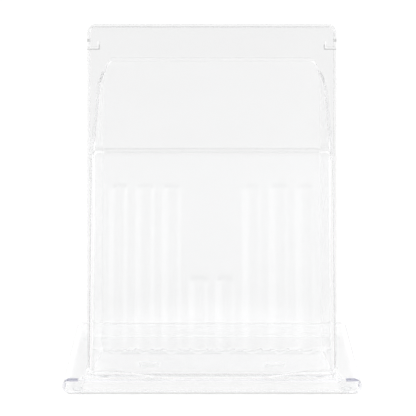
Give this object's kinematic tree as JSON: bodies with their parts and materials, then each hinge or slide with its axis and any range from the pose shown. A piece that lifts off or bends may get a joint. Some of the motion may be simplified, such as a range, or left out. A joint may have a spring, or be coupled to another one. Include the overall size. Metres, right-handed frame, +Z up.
{
  "type": "magazine holder",
  "caption": "Clear counter-top magazine holder: deep leaning pocket with a fluted front and sloping sides, flanged back panel with snap clips, wide hollow foot.",
  "frame": {"origin": "on the table, under the middle of the holder", "axes": "+Z up, +X to the right seen from the front, -Y towards the person in front of it"},
  "size_m": [0.28, 0.15, 0.3273],
  "materials": {
    "base_clear": "clear, polished, moulded polystyrene",
    "pocket_clear": "clear, polished, moulded polystyrene",
    "panel_clear": "clear, polished, moulded polystyrene",
    "bumper": "clear soft bumper, slightly cloudy"
  },
  "bodies": {
    "root": {"base": "base_clear", "pocket": "pocket_clear", "back_panel": "panel_clear", "foot_front_left": "bumper", "foot_front_right": "bumper", "foot_rear_left": "bumper", "foot_rear_right": "bumper"}
  },
  "joints": []
}
